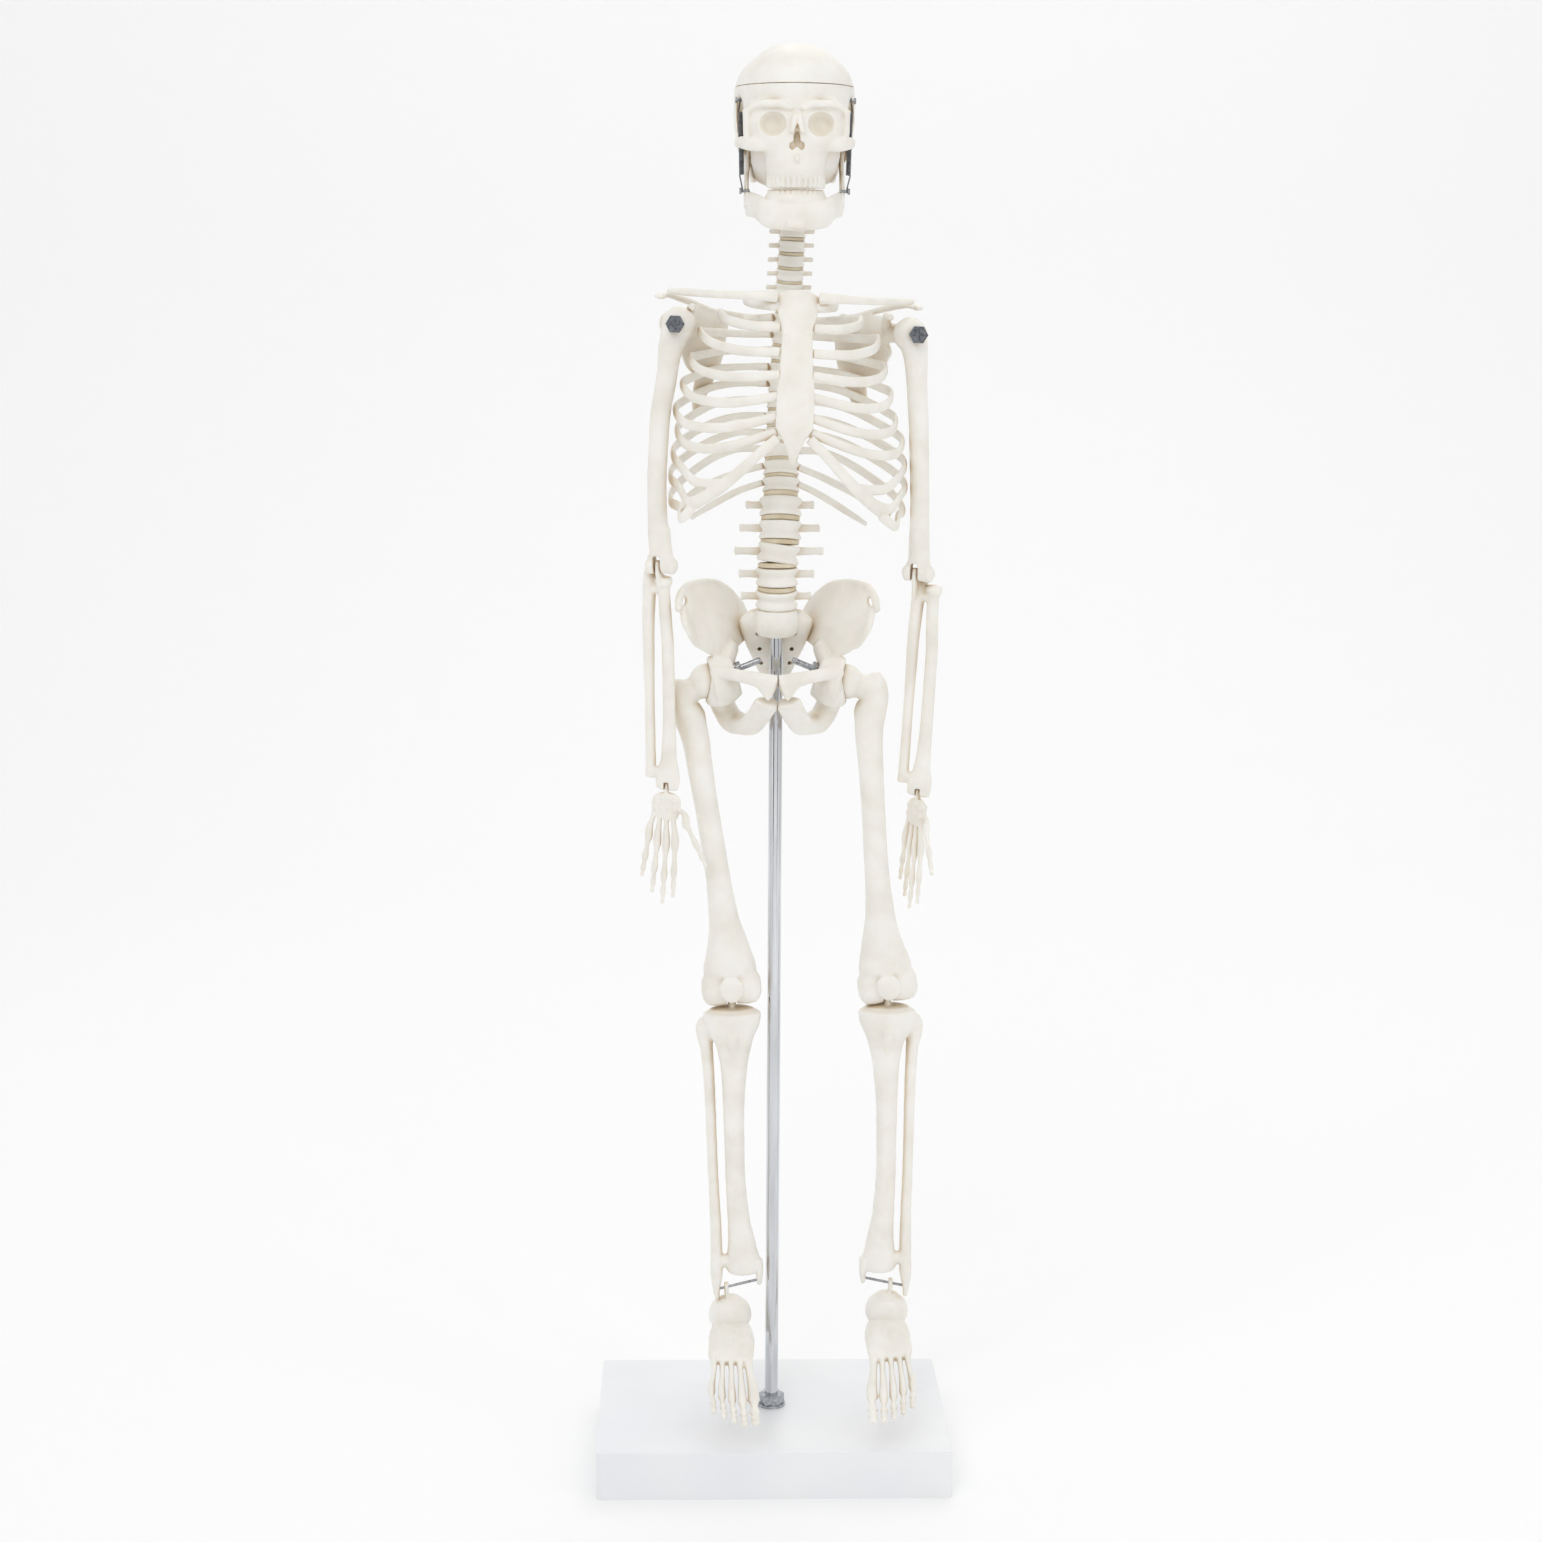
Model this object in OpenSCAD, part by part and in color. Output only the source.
// Half-size human skeleton teaching model on a rod stand.
// Right and left are the skeleton's own. It faces -Y, +Z is up, and the origin is
// the middle of the base's underside, on the rod's axis.

/* [Stand] */
// Width of the base board
base_w = 212; // [200:1:260]
// Depth of the base board
base_d = 152; // [150:1:200]
// Thickness of the base board
base_h = 29; // [20:1:40]
// Corner radius of the base board
base_corner = 3; // [1:0.5:8]
// Diameter of the steel rod
rod_d = 8; // [6:0.5:9]
// Height of the rod's top end, which carries the sacrum
rod_top = 517; // [500:1:530]

/* [Fasteners] */
// Width of the rod nuts across their corners
rod_nut_w = 16; // [14:0.5:20]
// Thickness of the rod nuts
rod_nut_h = 6; // [4:0.5:8]
// Diameter of the rod washers
rod_washer_d = 17; // [14:0.5:22]
// Thickness of the rod washers
rod_washer_h = 1.6; // [1:0.2:3]
// Diameter of the shoulder bolts
bolt_d = 5; // [3:0.5:6]
// Width of a shoulder bolt's head across its corners
bolt_head_w = 11; // [9:0.5:12]
// Thickness of a shoulder bolt's head
bolt_head_h = 3.5; // [2:0.5:5]
// Diameter of the hip studs
stud_d = 4; // [3:0.5:5]
// Diameter of the elbow and knee pins
pin_d = 2.5; // [2:0.25:3]
// Diameter of the wrist pins and the ankle wires
wire_d = 1.6; // [1.2:0.2:2]
// Diameter of the peg that carries the skull
peg_d = 5; // [4:0.5:6]

/* [Long bones] */
// Humerus, from the middle of its head to the elbow pin
humerus_l = 139; // [120:1:155]
// Forearm, from the elbow pin to the wrist pin
forearm_l = 131; // [115:1:145]
// Femur, from the middle of its head to the knee pin
femur_l = 186.5; // [170:0.5:195]
// Shin, from the knee pin to the ankle wire
shin_l = 187; // [175:0.5:192]

/* [Posture] */
// Lean of the chest toward the left side
chest_lean = 2.2; // [0:0.1:4]
// Turn of the chest toward the left side
chest_turn = 4; // [0:0.5:6]
// Outward lean of the right upper arm
arm_out_right = 3.1; // [2.5:0.1:8]
// Outward lean of the left upper arm
arm_out_left = 1.4; // [1:0.1:8]
// Outward lean of the right thigh
thigh_out_right = -4.7; // [-6:0.1:4]
// Outward lean of the left thigh
thigh_out_left = 8.4; // [0:0.1:10]
// Droop of the toes
foot_droop = 15; // [8:1:20]

/* [Fits] */
// Radial gap between a pin and the bone that turns on it
turn_gap = 0.08; // [0.02:0.01:0.1]
// Gap between two bones that move past each other
bone_gap = 0.5; // [0.4:0.1:0.8]

/* [Hidden] */
$fn = 48;
right = -1;
left = 1;
bone_color = "ivory";
steel_color = "silver";

// ---------------------------------------------------------------- lofts
function unit(v) = v / norm(v);
function place(r) = [r[0], r[1], r[2]];
function heading(p, i) = unit(p[min(i + 1, len(p) - 1)] - p[max(i - 1, 0)]);

// Smooth curve through rows of numbers, with m steps between two rows
function spline(p, m) = [for (i = [0 : len(p) - 2], j = [0 : m - 1])
    let (a = p[max(i - 1, 0)], b = p[i], c = p[i + 1], d = p[min(i + 2, len(p) - 1)], t = j / m)
    (2 * b + (c - a) * t + (2 * a - 5 * b + 4 * c - d) * t * t
        + (3 * b - a - 3 * c + d) * t * t * t) / 2, p[len(p) - 1]];

// Stretches a bone's rows along Z, from a unit length to length l
function long(rows, l) = [for (r = rows) [r[0], r[1], r[2] * l, r[3], r[4]]];

// Oval ring of n points round c, square to direction t: a is its half-width
// across the up vector and b its half-width along it
function ring(c, t, up, a, b, n) = let (u = unit(cross(t, up)), v = cross(t, u))
    [for (i = [0 : n - 1]) c + u * a * cos(360 * i / n) + v * b * sin(360 * i / n)];

// Solid skinned over rings of n points each
module skin(rings, n) {
    last = len(rings) - 1;
    sides = [for (k = [0 : last - 1], i = [0 : n - 1])
        [k * n + i, (k + 1) * n + i, (k + 1) * n + (i + 1) % n, k * n + (i + 1) % n]];
    triangles = [for (f = sides) each [[f[0], f[1], f[2]], [f[0], f[2], f[3]]]];
    caps = [[for (i = [0 : n - 1]) i], [for (i = [n - 1 : -1 : 0]) last * n + i]];
    polyhedron([for (r = rings) each r], concat(triangles, caps));
}

// Bone through rows of [x, y, z, a, b]
module bone(rows, up = [0, -1, 0], n = 8) {
    p = [for (r = rows) place(r)];
    skin([for (i = [0 : len(rows) - 1])
        ring(p[i], heading(p, i), up, rows[i][3], rows[i][4], n)], n);
}

// Fuses the overlapping lofts of one moulding into a single surface
module fused() {
    resize([0, 0, 0]) union() children();
}

// Round rod of diameter d from point a to point b
module rod(a, b, d) {
    v = b - a;
    translate(a) rotate([0, acos(v.z / norm(v)), atan2(v.y, v.x)]) cylinder(d = d, h = norm(v));
}

// ---------------------------------------------------------------- frames
function pick(pair, side) = side == right ? pair[0] : pair[1];

// Draws for the left side, or mirrored for the right
module on_side(side) {
    if (side == right) mirror([1, 0, 0]) children();
    else children();
}

// Chest frame: upright at the waist, then leaning and turned
waist = [0, 12, 556];
function chest_point(p) = let (q = p - waist,
    x = q.x * cos(chest_lean) + q.z * sin(chest_lean),
    z = q.z * cos(chest_lean) - q.x * sin(chest_lean))
    waist + [x * cos(chest_turn) - q.y * sin(chest_turn),
        x * sin(chest_turn) + q.y * cos(chest_turn), z];
module in_chest() {
    translate(waist) rotate([0, chest_lean, chest_turn]) translate(-waist) children();
}

// ---------------------------------------------------------------- stand
under_pocket_h = rod_nut_h + rod_washer_h + 2;
module base() {
    color("white") difference() {
        linear_extrude(base_h) union() {
            square([base_w - 2 * base_corner, base_d], center = true);
            square([base_w, base_d - 2 * base_corner], center = true);
            for (x = [-1, 1], y = [-1, 1])
                translate([x * (base_w / 2 - base_corner), y * (base_d / 2 - base_corner)])
                    circle(base_corner);
        }
        translate([0, 0, -1]) cylinder(d = rod_d, h = base_h + 2);
        translate([0, 0, -1]) cylinder(d = rod_washer_d + 4, h = under_pocket_h + 1);
    }
}
module stand_rod() {
    color(steel_color) translate([0, 0, 1]) cylinder(d = rod_d, h = rod_top - 1);
}
module hex_nut(w, h, bore) {
    difference() {
        cylinder(d = w, h = h, $fn = 6);
        translate([0, 0, -1]) cylinder(d = bore, h = h + 2);
    }
}
module washer(d, h, bore) {
    difference() {
        cylinder(d = d, h = h);
        translate([0, 0, -1]) cylinder(d = bore, h = h + 2);
    }
}
module rod_washer() {
    color(steel_color) translate([0, 0, base_h]) washer(rod_washer_d, rod_washer_h, rod_d);
}
module rod_nut() {
    color(steel_color) translate([0, 0, base_h + rod_washer_h]) hex_nut(rod_nut_w, rod_nut_h, rod_d);
}
module under_washer() {
    color(steel_color) translate([0, 0, under_pocket_h - rod_washer_h])
        washer(rod_washer_d, rod_washer_h, rod_d);
}
module under_nut() {
    color(steel_color) translate([0, 0, under_pocket_h - rod_washer_h - rod_nut_h])
        hex_nut(rod_nut_w, rod_nut_h, rod_d);
}

// ---------------------------------------------------------------- spine
// Fore-and-aft curve of the column: rows of [z, y]
spine_curve = [[521, -2], [545, -7], [570, -5], [595, 2], [625, 11], [655, 16], [685, 14],
    [712, 6], [737, 1], [762, 4]];
function lookup_y(z) = let (n = len(spine_curve) - 1,
    i = max([0, for (k = [0 : n - 1]) if (z >= spine_curve[k][0]) k]),
    a = spine_curve[max(i - 1, 0)], b = spine_curve[i],
    c = spine_curve[i + 1], d = spine_curve[min(i + 2, n)],
    t = (z - b[0]) / (c[0] - b[0]),
    mb = (c[1] - a[1]) / (c[0] - a[0]) * (c[0] - b[0]),
    mc = (d[1] - b[1]) / (d[0] - b[0]) * (c[0] - b[0]))
    (2 * t * t * t - 3 * t * t + 1) * b[1] + (t * t * t - 2 * t * t + t) * mb
        + (3 * t * t - 2 * t * t * t) * c[1] + (t * t * t - t * t) * mc;
function spine_point(z) = let (p = [0, lookup_y(z), z]) z > waist.z ? chest_point(p) : p;
function spine_heading(z) = unit(spine_point(z + 1) - spine_point(z - 1));

cervical_z = 711.3;
cervical_pitch = 8;
thoracic_z = 704 - 1.2;
thoracic_pitch = 9.65;
lumbar_z = 584.2;
lumbar_pitch = 13.4;
disc_share = 0.2;

// Size of vertebra k of 24, counted from the top: [middle, pitch, half-width, half-depth,
// half-span of its side processes, reach of its spine, droop of that spine]
function vertebra(k) = k < 7
    ? let (s = k / 6) [cervical_z + (6 - k) * cervical_pitch, cervical_pitch,
        7.4 + 0.6 * s, 4.8 + 0.6 * s, 13.4, 8 + 6 * s, 3]
    : k < 19
    ? let (i = k - 7, s = i / 11) [thoracic_z - i * thoracic_pitch, thoracic_pitch,
        7 + 3.6 * s, 6 + 2 * s, 17 - 5 * s, 15, 9 - 5 * s]
    : let (i = k - 19) [lumbar_z - i * lumbar_pitch, lumbar_pitch,
        12, 8.5, [20.5, 24, 26.5, 22.5, 21][i], 16, 2];
function disc_ring(z, v, shrink) = ring(spine_point(z), spine_heading(z), [0, -1, 0],
    v[2] * shrink, v[3] * shrink, 8);

module vertebra_bone(k) {
    v = vertebra(k);
    half = v[1] * (1 - disc_share) / 2;
    c = spine_point(v[0]);
    fused() {
        skin([disc_ring(v[0] - half, v, 1), disc_ring(v[0], v, 0.88), disc_ring(v[0] + half, v, 1)], 8);
        translate(c) {
            bone([for (x = [-1, 0, 1])
                [x * v[4], v[3] * 1.05 + 3 * abs(x), 0.5, 1.5, v[1] * (x == 0 ? 0.34 : 0.2)]],
                up = [0, 0, 1], n = 5);
            bone([[0, v[3] * 0.7, 0, v[2] * 0.75, v[1] * 0.36],
                [0, v[3] + 4, -0.5, v[2] * 0.4, v[1] * 0.3],
                [0, v[3] + v[5], -v[6], 1.3, v[1] * 0.22]], up = [0, 0, 1], n = 5);
        }
    }
}
module cervical_vertebrae() {
    color(bone_color) difference() {
        fused() for (k = [0 : 6]) vertebra_bone(k);
        at_peg() cylinder(d = peg_d, h = peg_l);
    }
}
module thoracic_vertebrae() {
    color(bone_color) for (k = [7 : 18]) vertebra_bone(k);
}
module lumbar_vertebrae() {
    color(bone_color) for (k = [19 : 23]) vertebra_bone(k);
}
sacrum_top = lumbar_z - 4 * lumbar_pitch - lumbar_pitch / 2;
module spinal_discs() {
    color("antiquewhite") for (k = [0 : 23]) {
        v = vertebra(k);
        w = vertebra(min(k + 1, 23));
        top = v[0] - v[1] * (1 - disc_share) / 2;
        bottom = k < 23 ? w[0] + w[1] * (1 - disc_share) / 2 : sacrum_top;
        skin([disc_ring(bottom, w, 0.93), disc_ring(top, v, 0.93)], 8);
    }
}

// ---------------------------------------------------------------- pelvis
hip = [41.1, -5, 481.5];
hip_head_r = 10.6;
symphysis_gap = 0.3;
stud_rise = 22;
stud_reach = 34;
function stud_dir() = [-cos(stud_rise), 0, sin(stud_rise)];

rod_bore = 30;
module sacrum() {
    color(bone_color) difference() {
        fused() {
            bone([[0, -2, sacrum_top, 12, 8.5], [0, -2, sacrum_top - 7, 13, 10],
                [0, 0, sacrum_top - 14, 12, 9]]);
            bone([[0, 4, sacrum_top - 2, 17, 5], [0, 7, sacrum_top - 8, 22, 7],
                [0, 11, sacrum_top - 18, 19.5, 6], [0, 16, sacrum_top - 29, 15, 4.5],
                [0, 18.5, sacrum_top - 40, 10, 3.5], [0, 17, sacrum_top - 51, 6, 2.6],
                [0, 13, sacrum_top - 60, 2.5, 1.6]]);
            bone([[0, 12, sacrum_top - 3, 3, 5], [0, 18, sacrum_top - 18, 2.5, 5],
                [0, 22, sacrum_top - 34, 1.5, 3]], n = 6);
        }
        translate([0, 0, sacrum_top - rod_bore])
            cylinder(r = rod_d / 2 + turn_gap, h = rod_top - sacrum_top + rod_bore);
    }
}
module hip_bone(side) {
    color(bone_color) on_side(side) difference() {
        fused() {
            bone([[18, 27, 517, 2.6, 10], [23, 18, 519, 2.8, 17], [33, 6, 519.5, 2.4, 23],
                [42, -6, 518.5, 2, 23.5], [50, -17, 518, 2.2, 17], [55, -24, 521, 2.2, 7]],
                up = [0.42, 0, 0.9], n = 8);
            bone([[27, 8, 500, 5, 8], [31, 0, 491, 6, 11], [34.5, -5, 481.5, 6.5, 15],
                [37, -1, 471, 5.5, 11]], n = 8);
            bone([[24, -7, 485.5, 12, 12], [33, -7.5, 482.5, 15.5, 15.5], [38, -8, 481.5, 15.2, 15.2]],
                up = [0, 0, 1], n = 12);
            bone([[37, -18, 489, 4, 4], [24, -27, 488, 3.4, 3.8], [12, -35, 486.5, 3.4, 4.6],
                [2.4, -39, 482, 3.6, 9]], up = [0, 0, 1]);
            bone([[34, 0, 474, 8, 8], [31, 6, 465, 7.5, 7], [25, 5, 456, 7.5, 7],
                [17.5, -5, 455, 5.5, 7.5], [11.5, -20, 462, 4, 7.5], [6, -33, 473, 3.4, 8]],
                up = [0.6, -0.6, 0.5]);
        }
        translate(hip - [2 * hip.x, hip.x, hip.x])
            cube([hip.x + symphysis_gap / 2, 2 * hip.x, 2 * hip.x]);
        translate(hip) sphere(hip_head_r + bone_gap);
        rod(hip, hip + stud_dir() * stud_reach, stud_d);
    }
}
module hip_bone_right() { hip_bone(right); }
module hip_bone_left() { hip_bone(left); }
hip_nut_h = 3.2;
hip_nut_w = 8.5;
hip_nut_at = 18.9;
module hip_studs() {
    color(steel_color) for (side = [right, left]) on_side(side)
        rod(hip - stud_dir() * 6, hip + stud_dir() * stud_reach, stud_d);
}
module hip_nuts() {
    color(steel_color) for (side = [right, left]) on_side(side)
        translate(hip + stud_dir() * hip_nut_at) rotate([0, stud_rise - 90, 0])
            hex_nut(hip_nut_w, hip_nut_h, stud_d);
}

// ---------------------------------------------------------------- chest
module sternum() {
    color(bone_color) in_chest() fused() {
        bone([[0, -42, 709.5, 8, 2], [0, -43, 706, 13, 2.4], [0, -46, 697, 11.5, 2.4],
            [0, -49, 686, 9, 2.2], [0, -53, 668, 9.6, 2.2], [0, -56, 648, 11, 2.2],
            [0, -57, 634, 11, 2.2], [0, -57, 627, 7, 2], [0, -56, 619, 3.6, 1.6],
            [0, -55, 612.5, 1.5, 1]]);
    }
}

// Rib i of 12: [half-width, height where it is widest, height at the breastbone or its end]
rib_shape = [[26, 703, 701], [41, 695, 689], [52, 684, 675], [57, 668, 662.5], [61, 653, 650.5],
    [64.5, 638, 639], [67, 626, 630.5], [69, 613, 603], [70, 600, 592], [69.5, 586, 582]];
function rib_z(i) = thoracic_z - i * thoracic_pitch;
low_rib_spread = [0.94, 1.03];
function rib_rows(i, side) = let (s = rib_shape[i],
    w = s[0] * (i > 5 ? pick(low_rib_spread, side) : 1),
    z0 = rib_z(i), zs = s[1], ze = s[2],
    y0 = lookup_y(z0), deep = min(35, y0 + 19), v = vertebra(i + 7))
    i < 7
    ? [[v[2] + 0.5, y0 + 4, z0 + 1, 1.5, 2.2],
        [0.32 * w + 4, min(deep, y0 + 13), z0, 1.5, 2.3],
        [0.62 * w + 1, deep - 3, z0 + 0.2 * (zs - z0), 1.6, 2.6],
        [0.93 * w, 9, z0 + 0.72 * (zs - z0), 1.5, 2.9],
        [w, -8, zs, 1.5, 3.1],
        [0.9 * w, -27, zs + 0.6 * (ze - zs) - 2.4 * max(0, i - 2), 1.5, 3.2],
        [0.6 * w, -44, ze - 2.6 * max(0, i - 2), 1.6, 3.2],
        [13, -54 + max(0, 3 - i) * 3.5, ze, 1.8, 2.9]]
    : [[v[2] + 0.5, y0 + 4, z0 + 1, 1.5, 2.2],
        [0.32 * w + 4, min(deep, y0 + 13), z0, 1.5, 2.3],
        [0.62 * w + 1, deep - 3, z0 + 0.25 * (zs - z0), 1.6, 2.6],
        [0.93 * w, 9, z0 + 0.72 * (zs - z0), 1.5, 2.9],
        [w, -8, zs, 1.5, 3.1],
        [0.93 * w, -23, zs + 0.7 * (ze - zs), 1.5, 3.2],
        [(0.93 * w + 38 + 8.5 * (i - 7)) / 2 + 3, -37 + (i - 7), ze - 4, 1.6, 3.1],
        [38 + 8.5 * (i - 7), -49 + 6 * (i - 7), 600 - 8 * (i - 7), 1.6, 3]];
module rib(i, side) {
    bone(spline(rib_rows(i, side), 2), up = [0, 0, 1], n = 6);
}
// Band of cartilage along the lower edge of the chest
margin_rows = [[11.5, -55.5, 626.5, 1.7, 3], [20, -55, 617, 1.8, 3], [31, -52, 606, 1.9, 3.4],
    [43, -46, 595, 2, 3.8], [54, -37, 587, 2, 3.8], [60, -29, 584, 1.8, 3]];
module true_ribs(side) {
    color(bone_color) in_chest() on_side(side) for (i = [0 : 6]) rib(i, side);
}
module true_ribs_right() { true_ribs(right); }
module true_ribs_left() { true_ribs(left); }
module false_ribs(side) {
    color(bone_color) in_chest() on_side(side) fused() {
        bone(margin_rows, up = [0.3, 0, 1]);
        for (i = [7 : 9]) rib(i, side);
    }
}
module false_ribs_right() { false_ribs(right); }
module false_ribs_left() { false_ribs(left); }
module floating_ribs(side) {
    color(bone_color) in_chest() on_side(side) {
        bone([[10.5, lookup_y(rib_z(10)) + 4, rib_z(10) + 1, 1.4, 2], [24, 20, rib_z(10) - 4, 1.4, 2.2],
            [40, 20, rib_z(10) - 11, 1.4, 2.4], [52, 9, rib_z(10) - 17, 1.3, 2.3],
            [57, -5, rib_z(10) - 21, 1, 1.6]], up = [0, 0, 1], n = 6);
        bone([[10.5, lookup_y(rib_z(11)) + 4, rib_z(11) + 1, 1.4, 1.9], [24, 15, rib_z(11) - 5, 1.4, 2.1],
            [40, 12, rib_z(11) - 14, 1.3, 2.1], [52, 4, rib_z(11) - 21, 1, 1.5]], up = [0, 0, 1], n = 6);
    }
}
module floating_ribs_right() { floating_ribs(right); }
module floating_ribs_left() { floating_ribs(left); }

// ---------------------------------------------------------------- shoulders
shoulder = [70.5, -10, 688];
shoulder_shift = 2.8;
shoulder_head_r = 10;
bolt_front = shoulder.y - shoulder_head_r;
scapula_face = shoulder.y + 9;
scapula_boss_h = 7;
scapula_boss_r = 7.5;
shoulder_nut_w = 10;
shoulder_nut_h = 4;
function shoulder_side(side) = [shoulder.x + side * shoulder_shift, shoulder.y, shoulder.z];

module clavicle(side) {
    color(bone_color) in_chest() on_side(side)
        bone([[12.6, -47, 706, 3, 3.4], [20, -47, 706.2, 2.4, 3], [34, -42, 706, 2.1, 2.6],
            [48, -30, 706, 2.1, 2.4], [60, -16, 706.4, 2.5, 2.3], [70, -5.5, 706.8, 3.4, 2.1]],
            up = [0, 0, 1]);
}
module clavicle_right() { clavicle(right); }
module clavicle_left() { clavicle(left); }
module scapula(side) {
    c = shoulder_side(side);
    color(bone_color) in_chest() on_side(side) difference() {
        fused() {
            // blade
            bone([[35, 38, 697, 1.2, 3], [38, 37, 690, 1.3, 9], [41, 36, 672, 1.3, 9.5],
                [46, 33, 654, 1.3, 7.5], [50, 30, 640, 1.2, 3.5], [51, 29, 636, 1, 1.5]],
                up = [0.8, -0.6, 0]);
            bone([[35, 37.5, 693, 1.3, 4], [46, 31, 691, 1.4, 8], [56, 20, 689, 2, 9],
                [62, 12, 688, 3, 6], [66, 5, 688, 4, 5.5]], up = [0, 0, 1]);
            bone([[44, 33, 668, 1.2, 14], [54, 24, 672, 1.4, 11], [61, 14, 680, 2.2, 6]],
                up = [0, 0, 1]);
            // ridge and the tip over the joint
            bone([[36, 38, 694, 1.5, 1.4], [48, 32, 698, 4, 1.8], [60, 23.5, 702, 3.6, 2],
                [71, 12, 704.5, 3, 1.8], [75.5, 1, 703.5, 3.6, 1.8], [74, -4, 703, 2, 1.4]],
                up = [0, 0, 1], n = 6);
            // beak in front
            bone([[60, 14, 689, 3.6, 3.6], [58, 5, 694, 3, 3], [57, -4, 698, 2.4, 2.4],
                [58.5, -12, 697, 1.8, 1.8]], up = [0, 0, 1], n = 6);
            // boss for the shoulder bolt
            translate([c.x, scapula_face, c.z]) rotate([-90, 0, 0])
                cylinder(r = scapula_boss_r, h = scapula_boss_h, $fn = 12);
        }
        translate([c.x, scapula_face - 20, c.z]) rotate([-90, 0, 0]) cylinder(d = bolt_d, h = 60);
        translate([c.x, scapula_face - 30, c.z]) rotate([-90, 0, 0]) cylinder(r = 12.5, h = 30);
        translate([c.x, scapula_face + scapula_boss_h, c.z]) rotate([-90, 0, 0])
            cylinder(d = shoulder_nut_w + 2, h = 30);
    }
}
module scapula_right() { scapula(right); }
module scapula_left() { scapula(left); }
module shoulder_bolts() {
    color(steel_color) in_chest() for (side = [right, left]) on_side(side)
        translate([shoulder_side(side).x, bolt_front - bone_gap, shoulder.z]) rotate([-90, 0, 0])
            difference() {
                union() {
                    translate([0, 0, -bolt_head_h]) cylinder(d = bolt_head_w, h = bolt_head_h, $fn = 6);
                    cylinder(d = bolt_d, h = 40);
                }
                for (a = [0, 90]) rotate([0, 0, a])
                    translate([-bolt_head_w / 4, -0.6, -bolt_head_h - 1]) cube([bolt_head_w / 2, 1.2, 2.5]);
            }
}
module shoulder_nuts() {
    color(steel_color) in_chest() for (side = [right, left]) on_side(side)
        translate([shoulder_side(side).x, scapula_face + scapula_boss_h, shoulder.z])
            rotate([-90, 0, 0]) hex_nut(shoulder_nut_w, shoulder_nut_h, bolt_d);
}

// ---------------------------------------------------------------- arms
arm_twist = [-160, -22];
elbow_front = [9, 3];
arm_out = [arm_out_right, arm_out_left];
forearm_out = [-4.6, -4.4];
forearm_shift = [-6, 3];
hand_out = [4, 0];
hand_twist = [0, -40];
humerus_bow = [5.2, 1.4];
head_in = 3;
module at_humerus(side) {
    c = chest_point([side * shoulder_side(side).x, shoulder.y, shoulder.z]);
    on_side(side) translate([side * c.x, c.y, c.z]) rotate([0, -pick(arm_out, side), side * chest_turn])
        children();
}
module at_forearm(side) {
    at_humerus(side) translate([0, -pick(elbow_front, side), -humerus_l])
        rotate([0, -pick(forearm_out, side), 0]) rotate([0, 0, pick(arm_twist, side)])
            mirror([0, side == right ? 1 : 0, 0]) children();
}
module at_wrist(side) {
    at_forearm(side) translate([wrist.x + pick(forearm_shift, side), wrist.y, -forearm_l]) children();
}
module at_hand(side) {
    twist = pick(arm_twist, side);
    at_wrist(side) rotate([0, 0, -side * twist]) rotate([0, -pick(hand_out, side), 0])
        rotate([0, 0, side * twist + pick(hand_twist, side)]) children();
}
elbow_r = 5.4;
elbow_slot = 4.4;
elbow_pin_l = 15.6;
module humerus(side) {
    twist = pick(arm_twist, side);
    bow = pick(humerus_bow, side);
    fore = -pick(elbow_front, side);
    axis = [cos(twist), sin(twist), 0];
    color(bone_color) difference() {
        at_humerus(side) fused() {
            bone([for (a = [-90 : 30 : 90]) [-head_in, 0, shoulder_head_r * sin(-a),
                max(1, shoulder_head_r * cos(a)), max(1, (shoulder_head_r - 1.3) * cos(a))]], n = 12);
            bone(long([[-1, 0, 0.03, 6, 7], [-0.6, 0, -0.05, 8, 8], [0.2 * bow, 0, -0.1, 7.2, 7],
                [0.4 * bow, 0.1 * fore, -0.2, 6.2, 6], [bow, 0.35 * fore, -0.42, 5.9, 5.6],
                [bow, 0.62 * fore, -0.62, 5.7, 5.4], [0.8 * bow, 0.8 * fore, -0.76, 5.7, 5],
                [0.4 * bow, 0.94 * fore, -0.9, 6.4, 4.8], [0.5, fore, -0.97, 6.6, 4.6],
                [0, fore, -1, 4.5, 4]], humerus_l), n = 8);
            translate([0, fore, -humerus_l]) rotate([0, -pick(forearm_out, side), 0])
                bone([for (r = [[-9.5, 2.5], [-8, elbow_r - 0.3], [-3, elbow_r - 0.7], [3, elbow_r - 0.6],
                    [7, elbow_r], [9, 3]]) concat(axis * r[0], [r[1], r[1]])], up = [0, 0, 1], n = 10);
            translate([0, fore, -humerus_l]) bone([concat([0, 0, 22], [4, 4]), concat([0, 0, 9], [6, 5]),
                concat([0, 0, 2], [7.8, 4.7])], up = [-axis.y, axis.x, 0]);
        }
        at_humerus(side) rotate([-90, 0, 0]) translate([0, 0, -20])
            cylinder(r = bolt_d / 2 + turn_gap, h = 40);
        at_forearm(side) {
            translate([-20, 0, 0]) rotate([0, 90, 0]) cylinder(d = pin_d, h = 40);
            translate([-elbow_slot / 2 - 2, -2.5 * elbow_r, -2 * elbow_r])
                cube([elbow_slot, 5 * elbow_r, 3.05 * elbow_r]);
        }
    }
}
module humerus_right() { humerus(right); }
module humerus_left() { humerus(left); }
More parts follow.
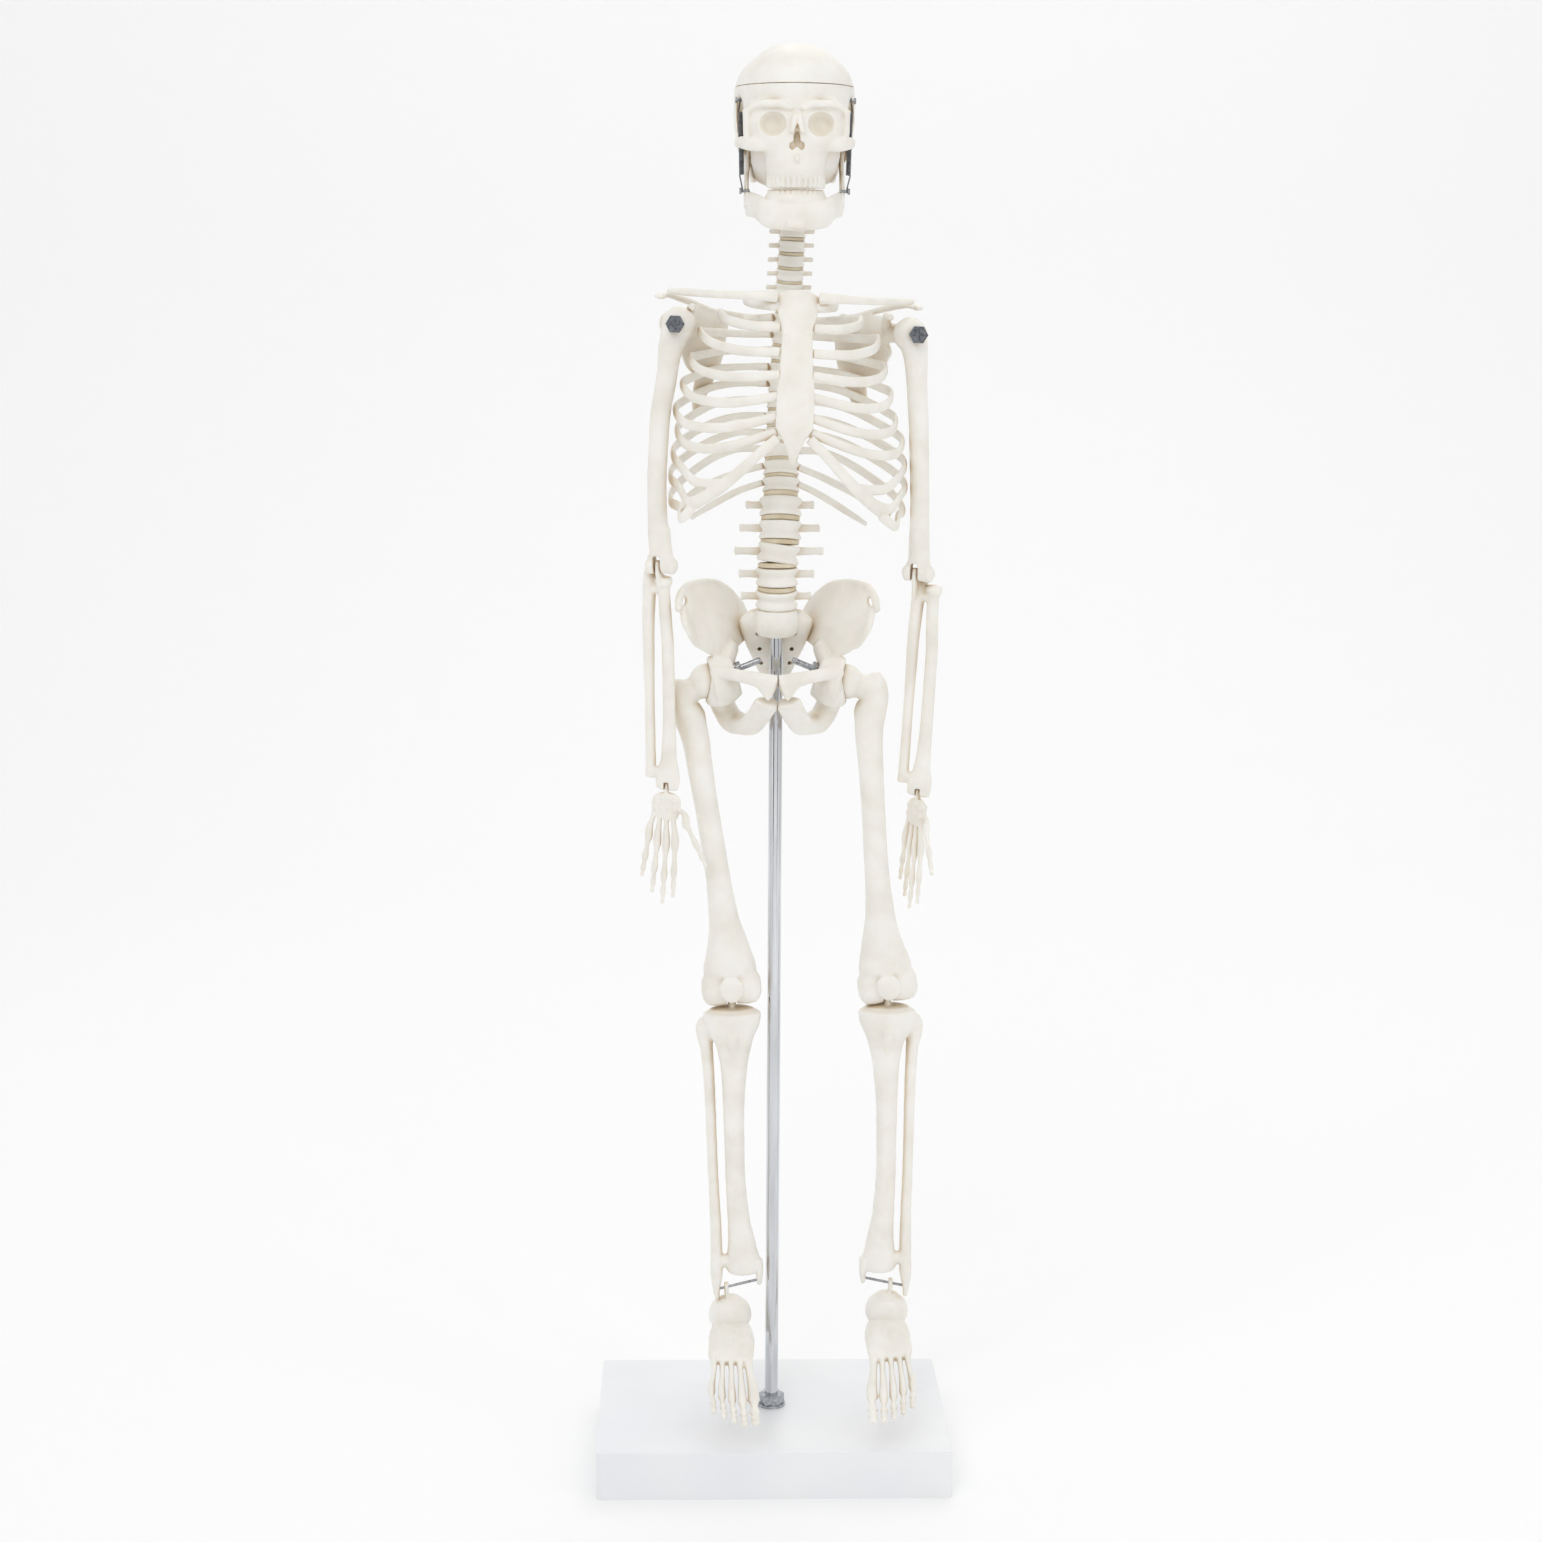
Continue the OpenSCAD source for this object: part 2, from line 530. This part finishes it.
module elbow_pin(side) {
    color(steel_color) at_forearm(side) translate([-8.4, 0, 0]) rotate([0, 90, 0])
        cylinder(d = pin_d, h = elbow_pin_l);
}
module elbow_pin_right() { elbow_pin(right); }
module elbow_pin_left() { elbow_pin(left); }
wrist_slot = 3.2;
wrist = [5, 3];
module forearm(side) {
    shift = pick(forearm_shift, side);
    color(bone_color) difference() {
        at_forearm(side) fused() {
            // tongue that takes the elbow pin
            bone([[-2, 0, 2.6, 1.9, 2.6], [-2, 0, -1, 1.9, 3.4], [-2, 2.6, -7, 1.9, 5],
                [-2.4, 5, -15, 1.9, 4]]);
            translate([shift, 0, 0]) {
                // ulna, with its hook behind the elbow
                bone([[-2, 8.6, 6, 2.4, 1.8], [-2.5, 8.6, 0, 3.6, 2.4], [-3, 7.6, -9, 4.6, 4.2],
                    [-4, 7, -18, 4, 4], [-5, 6.5, -45, 3.6, 3.6], [-5, 5.4, -85, 3, 3],
                    [-5, 4.2, -forearm_l + 12, 3.2, 3.2], [-5.4, 3.6, -forearm_l + 6, 3.2, 2.8]]);
                // radius
                bone([[6, 4.4, -7.6, 5, 4.4], [6, 4.4, -10, 5.2, 4.8], [5.6, 5, -13.5, 3.6, 3.4],
                    [5.8, 5.6, -24, 3.6, 3.6], [7, 5.6, -50, 3.7, 3.4], [7, 4.8, -85, 3.8, 3.4],
                    [6.4, 3.8, -forearm_l + 18, 4.8, 3.6], [5.6, 3, -forearm_l + 5, 7.4, 3.8],
                    [wrist.x, wrist.y, -forearm_l - 1, 7, 3.4]]);
                // webs that join the two at each end
                bone([[-5, 7, -13, 3, 3], [5, 5, -14.5, 3, 3]], up = [0, 0, 1], n = 6);
                bone([[-5, 4, -forearm_l + 9, 2.6, 3], [3, 3.4, -forearm_l + 9, 3, 3]],
                    up = [0, 0, 1], n = 6);
            }
        }
        at_forearm(side) translate([-10, 0, 0]) rotate([0, 90, 0])
            cylinder(r = pin_d / 2 + turn_gap, h = 20);
        at_wrist(side) {
            translate([-20, 0, 0]) rotate([0, 90, 0]) cylinder(d = wire_d, h = 40);
            translate([-wrist_slot / 2, -13, -12]) cube([wrist_slot, 24, 15]);
        }
    }
}
module forearm_right() { forearm(right); }
module forearm_left() { forearm(left); }
module wrist_pin(side) {
    color(steel_color) at_wrist(side) translate([-6, 0, 0]) rotate([0, 90, 0]) cylinder(d = wire_d, h = 12);
}
module wrist_pin_right() { wrist_pin(right); }
module wrist_pin_left() { wrist_pin(left); }

// Fingers from the little finger to the thumb: [x at the wrist, x at the knuckle,
// x at the tip, length to the knuckle, length in all, forward droop]
fingers = [[-6, -10, -13.5, 30, 55, 1], [-3, -4.5, -6.5, 33.5, 64, 0],
    [0, 1, 0.5, 35, 70, -1], [3.4, 6.5, 6.6, 34, 66, 0], [6, 13, 28, 20, 44, -7]];
module finger(f) {
    tip = f[4];
    knuckle = f[3];
    across = f[2] - f[1];
    reach = tip - knuckle;
    bone([[f[0], 0, -8, 2.2, 1.9], [(f[0] + f[1]) / 2, 0, -(8 + knuckle) / 2, 1.7, 1.6],
        [f[1], f[5] * 0.3, -knuckle, 2.5, 2.2],
        [f[1] + across * 0.3, f[5] * 0.55, -knuckle - reach * 0.25, 1.6, 1.5],
        [f[1] + across * 0.55, f[5] * 0.8, -knuckle - reach * 0.52, 2.1, 1.8],
        [f[1] + across * 0.8, f[5] * 0.9, -knuckle - reach * 0.8, 1.6, 1.5],
        [f[2], f[5], -tip, 1.2, 1]], n = 6);
}
module hand(side) {
    color(bone_color) difference() {
        at_hand(side) fused() {
            bone([[0, 0, -3.9, 5, 1.8], [0, 0, -5.4, 8, 2.8], [0, 0, -10, 9.4, 3.4], [0, 0, -15.5, 8.6, 3],
                [-0.5, 0, -19, 7, 2.2]]);
            bone([[0, 0, 2, 1.2, 1.8], [0, 0, -1.4, 1.2, 2], [0, 0, -7, 1.2, 2]], n = 8);
            for (f = fingers) finger(f);
        }
        at_wrist(side) translate([-12, 0, 0]) rotate([0, 90, 0])
            cylinder(r = wire_d / 2 + turn_gap, h = 24);
    }
}
module hand_right() { hand(right); }
module hand_left() { hand(left); }

// ---------------------------------------------------------------- legs
thigh_out = [thigh_out_right, thigh_out_left];
shin_out = [-1.5, 0.1];
module at_femur(side) {
    on_side(side) translate(hip) rotate([0, -pick(thigh_out, side), 0]) children();
}
module at_shin(side) {
    at_femur(side) translate([0, 0, -femur_l]) rotate([0, pick(thigh_out, side) - pick(shin_out, side), 0])
        children();
}
module at_foot(side) {
    at_shin(side) translate([0, 0, -shin_l]) rotate([0, wire_tilt, 0])
        translate([pick(foot_side, side), 0, 0]) children();
}
wire_tilt = 12;
foot_side = [7.4, 4];
foot_turn = [-2, -1];
knee_r = 10.6;
knee_slot = 6;
module femur(side) {
    color(bone_color) difference() {
        at_femur(side) fused() {
            bone([for (a = [-90 : 22.5 : 90]) [hip_head_r * sin(a), 0, 0,
                max(0.8, hip_head_r * cos(a)), max(0.8, hip_head_r * cos(a))]], up = [0, 0, 1], n = 10);
            bone([[4, 0, -3, 6.5, 7], [11, 0, -5, 6.2, 7.6], [17, 1, -8, 7, 10.5]], up = [0, 0, 1]);
            bone(long([[18, 2, 0.008, 4, 4.5], [17.8, 1.4, -0.02, 6.2, 6.5], [16.4, 0.5, -0.06, 8, 7.5],
                [12.4, 0, -0.11, 9.2, 7.4], [9.4, -1, -0.18, 8.4, 7.4], [8.2, -3, -0.26, 7.7, 7],
                [5.6, -5, -0.43, 7.1, 7], [3, -5, -0.6, 7.3, 7], [1.3, -3, -0.76, 9, 7.6],
                [0, -1, -0.87, 13, 9.6], [0, 0, -0.94, 16, 10.4],
                [0, 0, -0.98, 15, 9]], femur_l));
            translate([0, 0, -femur_l]) {
                bone([[-17.4, 0, 0, 6, 6], [-15, 0, 0, 9.6, 9.6], [-6, 0, 0, knee_r, knee_r],
                    [6, 0, 0, knee_r, knee_r], [15, 0, 0, 9.6, 9.6], [17.4, 0, 0, 6, 6]],
                    up = [0, 0, 1], n = 12);
                // kneecap
                bone([[0, -11.6, 8.5, 4, 1.5], [0, -12, 4, 7.5, 2.4], [0, -12, -2, 7, 2.4],
                    [0, -11.4, -6.5, 3, 1.5]]);
            }
        }
        at_femur(side) rod([0, 0, 0] - stud_local(side) * 7, stud_local(side) * 40, stud_d + 2 * turn_gap);
        at_shin(side) {
            translate([-30, 0, 0]) rotate([0, 90, 0]) cylinder(d = pin_d, h = 60);
            translate([-knee_slot / 2, -7, -20]) cube([knee_slot, 30, 27]);
        }
    }
}
// Direction of the hip stud in the femur's own frame
function stud_local(side) = let (a = stud_rise + pick(thigh_out, side)) [-cos(a), 0, sin(a)];
module femur_right() { femur(right); }
module femur_left() { femur(left); }
module knee_pin(side) {
    color(steel_color) at_shin(side) translate([-15, 0, 0]) rotate([0, 90, 0]) cylinder(d = pin_d, h = 30);
}
module knee_pin_right() { knee_pin(right); }
module knee_pin_left() { knee_pin(left); }
plateau = 14.4;
module shin(side) {
    color(bone_color) at_shin(side) difference() {
        fused() {
            bone([[0, 1, -plateau, 14.5, 9.5], [0, 1, -plateau - 2, 17.6, 12],
                [0, 1, -plateau - 9, 16.6, 11],
                [-0.6, 0, -shin_l * 0.19, 11, 9.5], [-0.4, -1, -shin_l * 0.27, 8, 8],
                [0.3, -1, -shin_l * 0.42, 6.4, 7], [0.3, -1, -shin_l * 0.6, 6, 6.2],
                [-1, 0, -shin_l * 0.76, 6.6, 6], [-3, 0.2, -shin_l * 0.88, 9, 7.1],
                [-3.4, 0, -shin_l + 12, 11, 7.6], [-3.4, 0, -shin_l + 8.5, 9.5, 7]]);
            // fibula
            bone([[16, 4, -plateau - 6, 4, 4.4], [17, 4, -plateau - 12, 5.2, 5],
                [15.6, 4, -shin_l * 0.22, 3.8, 3.8], [14.6, 3, -shin_l * 0.34, 3.4, 3.2],
                [13.8, 2, -shin_l * 0.6, 3.2, 3], [12.8, 1, -shin_l * 0.85, 3.6, 3.6],
                [13, 0, -shin_l + 8, 3.8, 5], [13.4, 0, -shin_l - 3, 2.2, 4],
                [13, 0, -shin_l - 9, 1.4, 2]]);
            // bridge between the two
            bone([[2, 0, -shin_l + 15, 4, 4], [12, 0.5, -shin_l + 15.4, 3.8, 4.2]], up = [0, 0, 1], n = 6);
            // inner ankle
            bone([[-12.4, 0, -shin_l + 15, 3, 5.4], [-13.2, 0, -shin_l + 6, 2.2, 4.4],
                [-13, 0, -shin_l - 0.5, 1.4, 2]]);
            // tongue that takes the knee pin
            bone([[0, 0, 4.6, 2.4, 3], [0, 0, 2, 2.4, 4.6], [0, 0, -4, 2.4, 4.6],
                [0, 1, -plateau - 2, 2.4, 5.4]]);
        }
        translate([-10, 0, 0]) rotate([0, 90, 0]) cylinder(r = pin_d / 2 + turn_gap, h = 20);
        at_ankle_wire() translate([0, 0, -25]) cylinder(d = wire_d, h = 50);
    }
}
module at_ankle_wire() {
    translate([0, 0, -shin_l]) rotate([0, wire_tilt, 0]) rotate([0, 90, 0]) children();
}
module shin_right() { shin(right); }
module shin_left() { shin(left); }
module ankle_wire(side) {
    color(steel_color) at_shin(side) at_ankle_wire() translate([0, 0, -15]) cylinder(d = wire_d, h = 29);
}
module ankle_wire_right() { ankle_wire(right); }
module ankle_wire_left() { ankle_wire(left); }

// Toes from the big toe to the little one: [x at the arch, x at the ball, x at the tip,
// y at the ball, y at the tip, half-width]
toes = [[-8, -11, -11, -60, -81, 3.6], [-4, -4, -4.4, -62, -81.5, 2.7], [1, 2, 1.6, -59, -78, 2.5],
    [6, 8, 7.4, -55, -73, 2.4], [10.5, 14, 13.2, -50, -67, 2.4]];
sole = -46;
module toe(t) {
    w = t[5];
    bone([[t[0], -24, sole + 17, w, 3], [(t[0] + t[1]) / 2, -42, sole + 12, w * 0.75, 2.4],
        [t[1], t[3], sole + 5, w * 1.05, 3],
        [(t[1] + t[2]) / 2, (t[3] + t[4]) / 2, sole + 3.6, w * 0.75, 2.2],
        [t[2], t[4] + 5, sole + 3, w, 2.3], [t[2], t[4], sole + 2.4, w * 0.5, 1]],
        up = [0, 0, 1], n = 6);
}
module foot(side) {
    color(bone_color) at_foot(side) difference() {
        rotate([foot_droop, -wire_tilt, pick(foot_turn, side)]) translate([-2, 0, 0]) fused() {
            // ankle bone with the tab that hangs on the wire
            bone([[0, 1, -9, 7, 8], [0, 0, -12, 11, 12], [0, -1, -20, 13.6, 13], [0, -1, -26, 11, 11]]);
            bone([[2, 0, 2.6, 1.4, 2.2], [2, 0, -1, 1.4, 3], [1, 0, -12, 1.4, 4]]);
            // heel
            bone([[0, -6, sole + 16, 10, 8], [1, 8, sole + 14, 10, 9.5], [1, 20, sole + 11, 9, 9.5],
                [1, 26, sole + 11, 5, 6]], up = [0, 0, 1]);
            // arch
            bone([[0, -8, sole + 20, 12.5, 8.5], [0, -17, sole + 19, 14.5, 8], [1, -28, sole + 16, 15, 5.6],
                [1.5, -36, sole + 13, 14, 3.4]], up = [0, 0, 1]);
            for (t = toes) toe(t);
        }
        translate([-10, 0, 0]) rotate([0, 90, 0]) cylinder(r = wire_d / 2 + turn_gap, h = 20);
    }
}
module foot_right() { foot(right); }
module foot_left() { foot(left); }

// ---------------------------------------------------------------- skull
jaw_axis = [8.5, 2, 790];
cut_z = 34.4;
cut_gap = 0.3;
skull_wall = 2.2;
skull_sides = 20;
peg_y = 2;
peg_top = -14;
peg_l = 18;
module at_peg() {
    translate([jaw_axis.x, jaw_axis.y + peg_y, jaw_axis.z + peg_top - peg_l]) children();
}
module at_skull() {
    translate(jaw_axis) children();
}
vault_rows = [[0, 14, -22, 11, 13], [0, 12, -15, 23, 25], [0, 8, -5, 30.5, 36], [0, 3, 8, 34, 42],
    [0, 0, 20, 35, 45], [0, -1, cut_z, 34.4, 44.6]];
dome_rows = [[0, -1, cut_z, 34.4, 44.6], [0, -1, 42, 31.5, 41.5], [0, -1, 50, 24.5, 34],
    [0, -1, 55.5, 16.5, 24], [0, -1, 58.5, 8.5, 12.5], [0, -1, 59.3, 3, 4.5]];
function inset(rows, t) = [for (r = rows) [r[0], r[1], r[2], r[3] - t, r[4] - t]];

module cranium() {
    color(bone_color) at_skull() difference() {
        fused() difference() {
            union() {
                bone(vault_rows, n = skull_sides);
                // face from brow to upper teeth
                bone([[0, -30, 24, 27, 14], [0, -33, 14, 27, 12.5], [0, -33, 4, 25, 12.5],
                    [0, -32, -4, 18, 13.5], [0, -31, -12, 17, 15.5], [0, -31, -22.8, 16, 15]], n = 12);
                for (s = [-1, 1]) scale([s, 1, 1]) {
                    // cheekbone and its arch, the side of the eye socket, the knob behind the ear
                    bone([[14, -40, 1, 2, 4], [24, -36, 1.5, 2.6, 4.4], [31, -28, 2.5, 1.6, 3.6],
                        [33.5, -17, 3, 0.9, 2.8], [33.5, -5, 3.5, 1, 2.8], [31, 4, 5, 1.8, 3]],
                        up = [0, 0, 1]);
                    bone([[27, -33, 1, 2.4, 3], [28, -34, 10, 2.2, 3], [28, -34, 20, 2.6, 4]]);
                    bone([[23, 15, -4, 5, 6], [23, 15, -12, 3.4, 4.4], [23, 14.5, -18, 1.6, 2]], n = 6);
                }
            }
            // inside of the braincase
            bone(concat([[0, 8, -3, 10, 12], [0, 4, 8, 21, 34], [0, 0, 20, 27, 41]],
                inset([vault_rows[5]], skull_wall), inset([[0, -1, cut_z + 1, 34.4, 44.6]], skull_wall)),
                n = skull_sides);
            for (s = [-1, 1]) scale([s, 1, 1]) {
                // eye socket
                bone([[14.5, -52, 13, 9, 9], [14, -44, 12.8, 8, 8], [11, -30, 12, 5.5, 5.5],
                    [8, -22, 11.5, 2.5, 2.5]], up = [0, 0, 1], n = 10);
                // hollow of the temple, where the spring and the jaw pass
                bone([[33, -18, 31, 1, 4], [31.4, -18, 24, 3, 8], [30, -17, 14, 3.4, 10],
                    [28, -15, 4, 4.2, 12],
                    [27.4, -8, -6, 4, 15], [27.4, -6, -26, 6, 19]], n = 8);
                bone([[27.2, 1.5, 3, 3, 3], [27.2, 1.5, -3, 4.6, 5], [27.2, 1.5, -8, 4.6, 6]]);
                translate(spring_screw) rotate([0, 90, 0]) cylinder(d = screw_d, h = screw_l);
            }
            translate([-50, -60, cut_z]) cube([100, 120, 20]);
            bone([[0, -52, 3, 4.4, 6], [0, -36, 3, 4.2, 6]], up = [0, 0, 1], n = 8);
        }
        translate([0, peg_y, peg_top - 30]) cylinder(r = peg_d / 2 + turn_gap, h = 30);
    }
}
module calvarium() {
    color(bone_color) at_skull() translate([0, 0, cut_gap]) fused() difference() {
        bone(dome_rows, n = skull_sides);
        translate([0, 0, -0.01]) bone(inset([for (r = dome_rows) if (r[2] < 58)
            r - [0, 0, r[2] > cut_z ? 2 : 0, 0, 0]], skull_wall), n = skull_sides);
    }
}
module mandible() {
    color(bone_color) at_skull() difference() {
        fused() {
            // body of the jaw
            bone(spline([[-27, -9, -31, 1.7, 7.5], [-22, -26, -33, 2.2, 7], [-15, -38, -37.5, 2.6, 8],
                [0, -43, -38.5, 3, 8.4], [15, -38, -37.5, 2.6, 8], [22, -26, -33, 2.2, 7],
                [27, -9, -31, 1.7, 7.5]], 2), up = [0, 0, 1]);
            // row of teeth
            bone([for (a = [-80 : 32 : 80]) [16 * sin(a), -27 - 16.5 * cos(a), -28, 2.2, 4]],
                up = [0, 0, 1], n = 6);
            // branch with its hinge knob, and the spur in front of it
            for (s = [-1, 1]) scale([s, 1, 1]) {
                bone([[27.4, -8, -33, 1.7, 8], [27.6, -6, -20, 1.5, 8.5], [27.4, -3, -9, 1.5, 8.5],
                    [27, 1, -4, 2, 3.4], [27, 1.5, -0.8, 3, 2.4]]);
                bone([[27.2, -9, -12, 1.4, 4], [26.6, -12.5, -4, 1.2, 2.6], [26.4, -13, 0.5, 1, 1.4]]);
            }
        }
        for (side = [right, left]) on_side(side) translate(jaw_screw) rotate([0, 90, 0])
            cylinder(d = screw_d, h = screw_l);
    }
}
spring_top = [31.4, -19, 24];
spring_end = [30.4, -17, -19];
spring_d = 3.2;
spring_wire = 0.8;
spring_hook = 4;
screw_d = 1.6;
screw_l = 6;
screw_head_d = 3.6;
screw_head_h = 1.2;
spring_screw = [28.4, -19, 26.5];
jaw_screw = [25.7, -14, -24];
function spring_dir() = unit(spring_end - spring_top);
spring_l = norm(spring_end - spring_top);
spring_turns = 36;
module along_spring() {
    v = spring_dir();
    translate(spring_top) rotate([0, acos(v.z), atan2(v.y, v.x)]) children();
}
module jaw_spring(side) {
    turn = (spring_l - 2 * spring_hook) / spring_turns;
    color("gray") at_skull() on_side(side) {
        along_spring() translate([0, 0, spring_hook]) rotate_extrude() polygon([[0, 0],
            for (i = [0 : spring_turns - 1], j = [0, 1])
                [spring_d / 2 - (j == 0 ? spring_wire / 3 : 0), (i + j / 2) * turn],
            [0, spring_turns * turn]]);
        rod(spring_top + spring_dir() * (spring_hook + 0.5),
            spring_screw + [screw_l / 2, -0.3, -1.2], spring_wire);
        rod(spring_end - spring_dir() * (spring_hook + 0.5),
            jaw_screw + [screw_l / 2 + 1.2, -1.2, 1.2], spring_wire);
    }
}
module jaw_spring_right() { jaw_spring(right); }
module jaw_spring_left() { jaw_spring(left); }
module screw() {
    rotate([0, 90, 0]) {
        cylinder(d = screw_d, h = screw_l);
        translate([0, 0, screw_l - screw_head_h]) cylinder(d = screw_head_d, h = screw_head_h);
    }
}
module spring_screws() {
    color(steel_color) at_skull() for (side = [right, left]) on_side(side) translate(spring_screw) screw();
}
module jaw_screws() {
    color(steel_color) at_skull() for (side = [right, left]) on_side(side) translate(jaw_screw) screw();
}
module skull_peg() {
    color(steel_color) at_peg() cylinder(d = peg_d, h = peg_l);
}

base();
stand_rod();
rod_nut();
rod_washer();
under_nut();
under_washer();
sacrum();
hip_bone_right();
hip_bone_left();
hip_studs();
hip_nuts();
lumbar_vertebrae();
thoracic_vertebrae();
cervical_vertebrae();
spinal_discs();
sternum();
true_ribs_right();
true_ribs_left();
false_ribs_right();
false_ribs_left();
floating_ribs_right();
floating_ribs_left();
clavicle_right();
clavicle_left();
scapula_right();
scapula_left();
shoulder_bolts();
shoulder_nuts();
skull_peg();
cranium();
spring_screws();
calvarium();
mandible();
jaw_screws();
jaw_spring_right();
jaw_spring_left();
humerus_right();
humerus_left();
elbow_pin_right();
elbow_pin_left();
forearm_right();
forearm_left();
wrist_pin_right();
wrist_pin_left();
hand_right();
hand_left();
femur_right();
femur_left();
knee_pin_right();
knee_pin_left();
shin_right();
shin_left();
ankle_wire_right();
ankle_wire_left();
foot_right();
foot_left();
